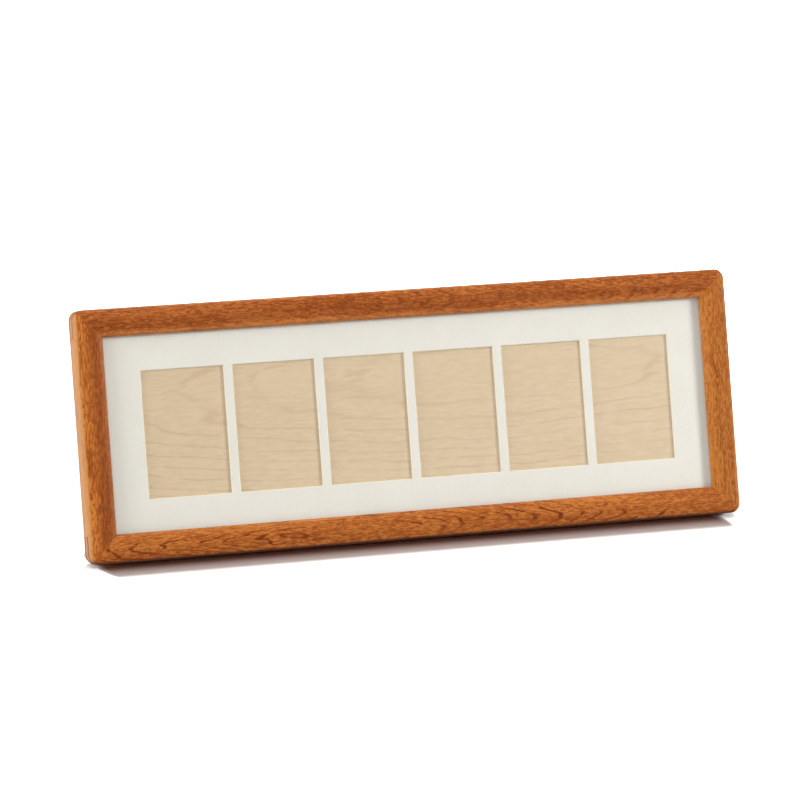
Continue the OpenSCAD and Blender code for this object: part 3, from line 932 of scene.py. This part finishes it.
@dataclass
class KeyedFrame:
    """The four mitred bars with their crowned front, and the keys in their corners."""

    sizes: MouldingSizes = MouldingSizes()
    keys: KeySizes = KeySizes()
    arc_steps: int = 8
    crown_cuts: int = 22
    land: float = 0.002 * MM

    def build(self, nodes: Nodes) -> None:
        """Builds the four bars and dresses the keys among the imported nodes."""
        for side in Side:
            dress(self.bar(side), FRAME_BODY, side.value)
        for spot, finish in KEY_FINISHES.items():
            repaint(nodes[f"{spot}_keys"], finish)

    def section(self) -> Mesh:
        """Returns the section's outline as edges alone, at X = 0 with its outer edge on Z = 0."""
        s = self.sizes
        corners = [
            (0, 0),
            (0, s.width),
            (s.lip, s.width),
            (s.lip, s.wall),
            (s.groove_front, s.wall),
            (s.groove_front, s.groove_floor),
            (s.groove_back, s.groove_floor),
            (s.groove_back, s.wall),
            (s.depth, s.wall),
            (s.depth, 0),
        ]
        mesh = bmesh.new()
        points = [mesh.verts.new((0, depth, height)) for depth, height in corners]
        mesh.faces.new(points)
        for number, radius in ((0, s.outer_round), (1, s.inner_round), (9, s.back_round)):
            soften(mesh, [points[number]], radius, self.arc_steps, "VERTICES", clamp=False)
        for step in range(1, self.crown_cuts):
            cut_across(mesh, (0, 0, s.width * step / self.crown_cuts), (0, 0, 1))
        cut_across(mesh, (0, 0, s.corner_round), (0, 0, 1))
        for depth in (s.lip, 2 * s.lip, s.depth - s.edge_strip):
            cut_across(mesh, (0, depth, 0), (0, 1, 0))
        for vert in mesh.verts:
            if vert.co.y < s.inner_round + WELD:
                vert.co.y += s.crown_fall(vert.co.z)
        inner = [e for e in mesh.edges if not e.is_boundary]
        bmesh.ops.delete(mesh, geom=mesh.faces[:], context="FACES_ONLY")
        bmesh.ops.delete(mesh, geom=inner, context="EDGES")
        loose = [v for v in mesh.verts if not v.link_edges]
        bmesh.ops.delete(mesh, geom=loose, context="VERTS")
        return mesh

    def half_bar(self, length: float) -> Mesh:
        """Sweeps the section from the bar's middle to its mitre, round the frame's corner.

        Args:
            length: Length of the bar along its outer edge.

        Returns:
            The half bar, open at X = 0.
        """
        s = self.sizes
        run = length / 2 - s.corner_round
        mesh = self.section()
        grown = bmesh.ops.extrude_edge_only(mesh, edges=mesh.edges[:])
        moved = [g for g in grown["geom"] if isinstance(g, Vert)]
        bmesh.ops.translate(mesh, verts=moved, vec=(run, 0, 0))
        cut_across(mesh, (run - s.edge_strip, 0, 0), (1, 0, 0))
        pivot = Vector((run, 0, s.corner_round))
        cut_across(mesh, pivot, (1, 0, 1), clear=True)
        low = [v for v in mesh.verts if v.co.z < s.corner_round + WELD]
        ends = [v for v in low if abs(v.co.x - run) < WELD]
        swept = [e for e in mesh.edges if all(v in ends for v in e.verts)]
        bmesh.ops.spin(
            mesh,
            geom=ends + swept,
            cent=pivot,
            axis=(0, 1, 0),
            angle=-math.radians(45),
            steps=self.arc_steps,
            use_merge=False,
            use_duplicate=False,
        )
        bmesh.ops.remove_doubles(mesh, verts=mesh.verts, dist=WELD)
        rim = [e for e in mesh.edges if e.is_boundary and self.on_mitre(e, pivot)]
        bmesh.ops.holes_fill(mesh, edges=rim, sides=0)
        return mesh

    def on_mitre(self, edge: Edge, pivot: Vector) -> bool:
        """Says whether an edge lies in the plane of the mitre through a point."""
        across = Vector((1, 0, 1)).normalized()
        return all(abs((v.co - pivot).dot(across)) < IN_PLANE for v in edge.verts)

    def ease_mitre(self, mesh: Mesh) -> None:
        """Breaks the arris round the closed mitre face, so that a joint shows as a fine line."""
        mesh.normal_update()
        slanted = [f for f in mesh.faces if min(abs(f.normal.x), abs(f.normal.z)) > SLANTED]
        cap = max(slanted, key=lambda face: face.calc_area())
        soften(mesh, cap.edges[:], self.sizes.mitre_ease, 1)

    def cut_slots(self, mesh: Mesh, length: float) -> None:
        """Cuts the key slots into the mitred end.

        Args:
            mesh: The half bar, its mitre face closed.
            length: Length of the bar along its outer edge.
        """
        k = self.keys
        root = length / 2 - k.leg
        cut_across(mesh, (root, 0, 0), (1, 0, -1))
        for depth in k.depths:
            front = depth - k.half_thickness
            back = depth + k.half_thickness
            cut_across(mesh, (0, front, 0), (0, 1, 0))
            cut_across(mesh, (0, back, 0), (0, 1, 0))
            closed = [e for e in mesh.edges if e.is_boundary]
            waste = []
            for face in mesh.faces:
                middle = face.calc_center_median()
                if front < middle.y < back and middle.x - middle.z > root:
                    waste.append(face)
            bmesh.ops.delete(mesh, geom=waste, context="FACES")
            floor = [
                e
                for e in mesh.edges
                if e.is_boundary
                and e not in closed
                and all(abs(v.co.x - v.co.z - root) < IN_PLANE for v in e.verts)
            ]
            bmesh.ops.bridge_loops(mesh, edges=floor)
            walls = [e for e in mesh.edges if e.is_boundary and e not in closed]
            bmesh.ops.holes_fill(mesh, edges=walls, sides=0)

    def bar(self, side: Side) -> Piece:
        """Returns one bar in its place."""
        s = self.sizes
        length = s.frame_height if side.upright else s.frame_width
        mesh = self.half_bar(length)
        self.ease_mitre(mesh)
        self.cut_slots(mesh, length)
        bmesh.ops.mirror(mesh, geom=everything(mesh), matrix=Matrix(), merge_dist=WELD, axis="X")
        bmesh.ops.transform(mesh, matrix=STANCE.to_row() @ self.seat(side), verts=mesh.verts)
        self.plane_land(mesh)
        bmesh.ops.recalc_face_normals(mesh, faces=mesh.faces)
        return publish(mesh, f"bar_{side.value}", [BAR_FINISHES[side]])

    def plane_land(self, mesh: Mesh) -> None:
        """Planes the land on which the frame stands, if the bar reaches down to the floor."""
        cut_across(mesh, (0, 0, self.land), (0, 0, -1), clear=True)
        rim = [e for e in mesh.edges if e.is_boundary]
        if rim:
            bmesh.ops.holes_fill(mesh, edges=rim, sides=0)

    def seat(self, side: Side) -> Matrix:
        """Returns the move of a bar, drawn outer edge down, to its side of the upright frame."""
        s = self.sizes
        if side is Side.BOTTOM:
            return Matrix()
        if side is Side.TOP:
            lift = Matrix.Translation((0, 0, s.frame_height))
            return lift @ Matrix.Scale(-1, 4, (0, 0, 1))
        way = 1 if side is Side.RIGHT else -1
        out = Matrix.Translation((way * s.frame_width / 2, 0, s.frame_height / 2))
        return out @ Matrix.Rotation(-way * math.pi / 2, 4, "Y")


@dataclass
class WindowMat:
    """The mat card with its sloped windows."""

    sizes: MatSizes = MatSizes()

    def build(self) -> None:
        """Builds the mat."""
        s = self.sizes
        mesh = bmesh.new()
        half = s.half_width
        corners = [(-half, s.low), (half, s.low), (half, s.high), (-half, s.high)]
        mesh.faces.new([mesh.verts.new((x, s.front, z)) for x, z in corners])
        self.open_windows(mesh)
        self.thicken(mesh)
        # The strip at the foot of each slope gets the dark card: painted shade in the crease
        # against the board.
        foot = s.front + s.thickness - s.foot
        cut_across(mesh, (0, foot, 0), (0, 1, 0))
        mesh.normal_update()
        for face in mesh.faces:
            if abs(face.normal.y) < SQUARE_ON:
                face.material_index = 1 + int(face.calc_center_median().y > foot)
        bmesh.ops.transform(mesh, matrix=STANCE.to_row(), verts=mesh.verts)
        bmesh.ops.recalc_face_normals(mesh, faces=mesh.faces)
        card = publish(mesh, "mat_card", [MAT_FACE, MAT_CORE, MAT_FOOT_SHADE])
        dress(card, FRAME_BODY, "mat_board")

    def open_windows(self, mesh: Mesh) -> None:
        """Cuts the front sheet along the windows' edges and takes the windows out."""
        s = self.sizes
        half = s.window_width / 2 + s.slope
        for centre in s.centres():
            cut_across(mesh, (centre - half, 0, 0), (1, 0, 0))
            cut_across(mesh, (centre + half, 0, 0), (1, 0, 0))
        cut_across(mesh, (0, 0, s.window_low - s.slope), (0, 0, 1))
        cut_across(mesh, (0, 0, s.window_high + s.slope), (0, 0, 1))
        inside = []
        for face in mesh.faces:
            middle = face.calc_center_median()
            within = any(abs(middle.x - centre) < half for centre in s.centres())
            if within and s.window_low < middle.z < s.window_high:
                inside.append(face)
        bmesh.ops.delete(mesh, geom=inside, context="FACES")

    def thicken(self, mesh: Mesh) -> None:
        """Gives the sheet its thickness, with the windows' sides sloping in to the back."""
        s = self.sizes
        grown = bmesh.ops.extrude_face_region(mesh, geom=mesh.faces[:])
        back = [g for g in grown["geom"] if isinstance(g, Vert)]
        bmesh.ops.translate(mesh, verts=back, vec=(0, s.thickness, 0))
        reach_x = s.window_width / 2 + s.slope
        middle = (s.window_low + s.window_high) / 2
        reach_z = (s.window_high - s.window_low) / 2 + s.slope
        for vert in back:
            for centre in s.centres():
                side = vert.co.x - centre
                rise = vert.co.z - middle
                if abs(side) < reach_x + WELD and abs(rise) < reach_z + WELD:
                    vert.co.x -= math.copysign(s.slope, side)
                    vert.co.z -= math.copysign(s.slope, rise)


class BoardAndPane:
    """The glass and the veneered back board."""

    def build(self, nodes: Nodes) -> None:
        """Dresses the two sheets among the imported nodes."""
        repaint(nodes["front_pane"], GLASS)
        repaint(nodes["back_board"], BOARD_VENEER)


@dataclass
class SwivelClips:
    """The zinc clips that hold the board, and their rivets."""

    spots: Sequence[str] = ("top_left", "top_right", "bottom_left", "bottom_right", "left", "right")
    ease: float = 0.12 * MM

    def build(self, nodes: Nodes) -> None:
        """Builds the clips with softened edges and dresses the rivets."""
        for spot in self.spots:
            node = nodes[f"{spot}_clip"]
            plate = publish(softened_copy(node, self.ease), f"{spot}_swivel", [ZINC])
            dress(plate, f"{spot}_clip_body", node.name)
        repaint(nodes["clip_rivets"], ZINC)


@dataclass
class HingedLeg:
    """The plywood leg and its brass hinge."""

    board_ease: float = 0.35 * MM
    leaf_ease: float = 0.1 * MM

    def build(self, nodes: Nodes) -> None:
        """Builds the leg and the hinge's leaves, and dresses the pin and screws."""
        self.board(nodes["leg"])
        for name, body in (("hinge_back_leaf", FRAME_BODY), ("hinge_leg_leaf", LEG_BODY)):
            leaf = publish(softened_copy(nodes[name], self.leaf_ease), f"{name}_brass", [BRASS])
            dress(leaf, body, name)
        for name in ("hinge_pin", "back_leaf_screws", "leg_leaf_screws"):
            repaint(nodes[name], BRASS)

    def board(self, node: Piece) -> None:
        """Builds the leg with eased arrises and its plies showing on the edges."""
        normal = STANCE.leg_normal()
        start = tuple(STANCE.leg_front())
        edge = PlyEdge("Leg Ply Edge", "pale_plywood", tuple(normal), start)
        mesh = softened_copy(node, self.board_ease)
        mesh.normal_update()
        for face in mesh.faces:
            face.material_index = int(abs(face.normal.dot(normal)) < SQUARE_ON)
        dress(publish(mesh, "leg_board", [LEG_VENEER, edge]), LEG_BODY, "leg")


@dataclass(frozen=True)
class Softbox:
    """A square lamp that faces the stand, placed by its direction from the stand's front."""

    name: str
    azimuth: float
    elevation: float
    distance: float
    size: float
    level: float
    aim_height: float = 0.07

    def build(self) -> None:
        """Hangs the lamp; a level of 1 alone lights a surface that faces it as written."""
        lamp = bpy.data.lights.new(self.name, "AREA")
        lamp.shape = "SQUARE"
        lamp.size = self.size
        lamp.energy = self.level * (math.pi * self.distance) ** 2
        made = bpy.data.objects.new(self.name, lamp)
        out = Vector((0, -self.distance, 0))
        out.rotate(Euler((-math.radians(self.elevation), 0, 0)))
        out.rotate(Euler((0, 0, math.radians(self.azimuth))))
        made.location = out + Vector((0, 0, self.aim_height))
        made.rotation_euler = (-out).to_track_quat("-Z", "Y").to_euler()
        bpy.context.scene.collection.objects.link(made)


@dataclass
class Studio:
    """White floor and surround, soft lamps, and the camera of the product picture."""

    camera_place: Triple = (-0.65972, -2.25522, 0.68621)
    camera_aim: Triple = (-0.00662, -0.01231, 0.08305)
    focal_length: float = 180.0
    sensor_width: float = 36.0
    far_end: float = 50.0
    surround: float = 0.2
    gloss_levels: tuple[float, float] = (0.25, 1.15)
    floor_level: float = 0.6
    floor_size: float = 5.0
    # Colour of the painted shadow on the floor along the frame.
    contact_tone: Colour = (1.0, 0.36, 0.2, 1.0)
    contact_line: float = -0.03
    under_line: float = -0.0285
    contact_half: float = 0.1905
    contact_centre: float = -0.004
    contact_skew: float = -0.18
    end_falloff: float = 5.0
    lamps: tuple[Softbox, ...] = (
        Softbox("Left Box", -77, 18, 2.4, 1.15, 0.505),
        Softbox("Right Box", 60, 19, 3.2, 0.73, 0.67),
        Softbox("High Box", -24, 48, 2.4, 1.6, 0.17),
        Softbox("Top Box", 180, 78, 1.3, 0.9, 0.4),
        Softbox("Back Box", 155, 30, 2.4, 1.0, 0.5),
    )

    def build(self) -> None:
        """Builds the studio."""
        self.hang_surround()
        self.lay_floor()
        for lamp in self.lamps:
            lamp.build()
        self.set_camera()
        bpy.context.scene.view_settings.view_transform = "Standard"
        LOG.info("studio: %d lamps", len(self.lamps))

    def hang_surround(self) -> None:
        """Makes the world: white to the eye, calm as a light, brighter at the right in gloss."""
        world = bpy.data.worlds.new("White Surround")
        world.use_nodes = True
        graph = Graph(world.node_tree)
        path = graph.node("ShaderNodeLightPath").outputs
        seen = graph.math("MAXIMUM", path["Is Camera Ray"], path["Is Transmission Ray"])
        strength = graph.math("MULTIPLY_ADD", seen, 1 - self.surround, self.surround)
        rightward = graph.part(graph.node("ShaderNodeTexCoord").outputs["Generated"], "X")
        panel = graph.remap(rightward, 0.12, 0.42, *self.gloss_levels)
        panel = graph.math("SUBTRACT", panel, self.surround)
        strength = graph.math("MULTIPLY_ADD", path["Is Glossy Ray"], panel, strength)
        sky = graph.node("ShaderNodeBackground", {"Color": (1, 1, 1, 1), "Strength": strength})
        graph.node("ShaderNodeOutputWorld", {"Surface": sky.outputs["Background"]})
        bpy.context.scene.world = world

    def lay_floor(self) -> None:
        """Lays the pale floor, which keeps the stand's shadow and carries a painted shadow along
        the frame.
        """
        mesh = bmesh.new()
        bmesh.ops.create_grid(mesh, x_segments=1, y_segments=1, size=self.floor_size / 2)
        floor = publish(mesh, "studio_floor", [])
        paint = bpy.data.materials.new("Studio Floor")
        paint.use_nodes = True
        graph = Graph(paint.node_tree)
        path = graph.node("ShaderNodeLightPath").outputs
        share = graph.math(
            "MULTIPLY_ADD", path["Is Glossy Ray"], 1 - self.floor_level, self.floor_level
        )
        colour = graph.mix(path["Is Camera Ray"], share, self.floor_tone(graph))
        cover = graph.node("ShaderNodeBsdfDiffuse", {"Color": colour}).outputs["BSDF"]
        graph.node("ShaderNodeOutputMaterial", {"Surface": cover})
        floor.data.materials.append(paint)

    def floor_tone(self, graph: Graph) -> Socket:
        """Returns the floor's colour as seen: white, with a warm dark painted shadow along the
        frame.
        """
        # Distance from the line along which the frame stands
        where = graph.object_place()
        ahead = graph.math("SUBTRACT", graph.part(where, "Y"), self.contact_line)
        middle = graph.math("MULTIPLY_ADD", ahead, self.contact_skew, self.contact_centre)
        along = graph.math("SUBTRACT", graph.part(where, "X"), middle)
        beyond = graph.math("SUBTRACT", graph.math("ABSOLUTE", along), self.contact_half)
        beyond = graph.times(graph.math("MAXIMUM", beyond, 0.0), self.end_falloff)
        distance = graph.vector("LENGTH", graph.joined(X=beyond, Y=ahead))
        # Painted shadow: a warm dark tone near that line, with painted light that lifts it right
        # under the frame's own shadow
        near = graph.remap(distance, 0.006, 0.024, 0.18, 0.47)
        under = graph.math("SUBTRACT", graph.part(where, "Y"), self.under_line)
        under = graph.remap(graph.math("ABSOLUTE", under), 0.0025, 0.0075, 1.1, 0)
        warm = graph.remap(distance, 0.0, 0.022, 1, 0.24)
        tone = graph.mix(warm, (1, 1, 1, 1), self.contact_tone)
        tone = graph.vector("MULTIPLY", tone, graph.math("ADD", near, under))
        # White further out, stronger where the lamps reach less
        clear = graph.remap(distance, 0.2, 1.5, 1.5, 3.3)
        return graph.mix(graph.remap(distance, 0.022, 0.032), tone, clear)

    def set_camera(self) -> None:
        """Places the camera where the picture was taken from."""
        lens = bpy.data.cameras.new("Product Camera")
        lens.lens = self.focal_length
        lens.sensor_width = self.sensor_width
        lens.sensor_fit = "HORIZONTAL"
        lens.clip_end = self.far_end
        made = bpy.data.objects.new("Product Camera", lens)
        made.location = self.camera_place
        look = Vector(self.camera_aim) - Vector(self.camera_place)
        made.rotation_euler = look.to_track_quat("-Z", "Y").to_euler()
        bpy.context.scene.collection.objects.link(made)
        bpy.context.scene.camera = made


def main() -> None:
    """Builds the stand's looks piece by piece."""
    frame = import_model()
    nodes = frame["nodes"]
    KeyedFrame().build(nodes)
    WindowMat().build()
    BoardAndPane().build(nodes)
    SwivelClips().build(nodes)
    HingedLeg().build(nodes)
    Studio().build()


if __name__ == "__main__":
    logging.basicConfig(level=logging.INFO, format="%(message)s")
    main()
